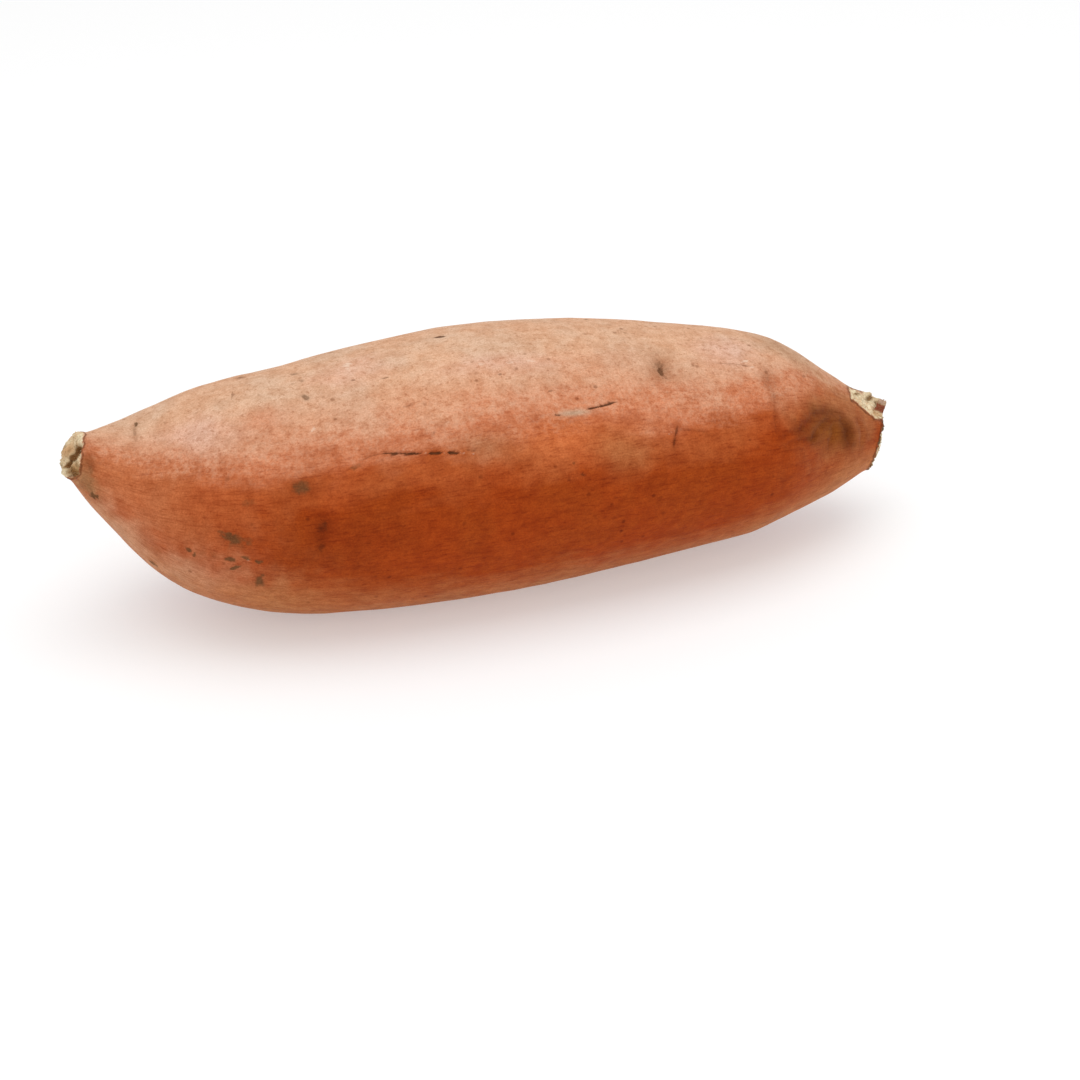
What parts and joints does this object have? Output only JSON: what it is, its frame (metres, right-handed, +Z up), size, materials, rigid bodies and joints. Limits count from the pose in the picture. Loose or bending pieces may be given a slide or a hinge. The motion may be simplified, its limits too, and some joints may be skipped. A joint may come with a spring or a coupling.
{
  "type": "sweet potato",
  "caption": "Whole sweet potato: a long spindle-shaped root with a broken tail, a torn stem end, shallow eyes and creases, resting on its belly.",
  "frame": {"origin": "on the surface that the root lies on, under the middle of its box", "axes": "+X along the root from the tail to the stem end, +Z up from its rest spot, +Y to the back"},
  "size_m": [0.2098, 0.0712, 0.0633],
  "materials": {
    "skin": "thin dry copper-pink skin, dull, with fine lengthwise striations"
  },
  "bodies": {
    "root": {"sweet_potato": "skin"}
  },
  "joints": []
}
